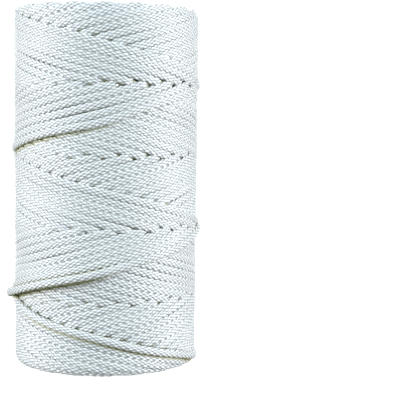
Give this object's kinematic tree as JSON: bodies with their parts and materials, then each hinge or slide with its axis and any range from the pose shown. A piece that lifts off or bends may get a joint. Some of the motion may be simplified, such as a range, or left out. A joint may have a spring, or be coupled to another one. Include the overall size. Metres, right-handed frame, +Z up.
{
  "type": "string reel",
  "caption": "Upright flangeless reel: white braided string cross-wound edge to edge on a paper tube, with a clear bore through it.",
  "frame": {"origin": "centre of the paper tube's lower end, where the reel stands", "axes": "+Z up the tube's axis; the string's two ends lie at the back, towards +Y, and the plain side of the winding faces -Y"},
  "size_m": [0.0514, 0.052, 0.1],
  "materials": {
    "core_inner_ply": "matte",
    "core_middle_ply": "matte",
    "core_outer_ply": "matte",
    "string_layer_1": "matte",
    "string_layer_2": "matte",
    "string_layer_3": "matte",
    "string_outer_layer": "matte",
    "string_inner_end": "matte",
    "string_outer_end": "matte"
  },
  "bodies": {
    "root": {"core_inner_ply": "core_inner_ply", "core_middle_ply": "core_middle_ply", "core_outer_ply": "core_outer_ply", "string_layer_1": "string_layer_1", "string_layer_2": "string_layer_2", "string_layer_3": "string_layer_3", "string_outer_layer": "string_outer_layer", "string_inner_end": "string_inner_end", "string_outer_end": "string_outer_end"}
  },
  "joints": []
}
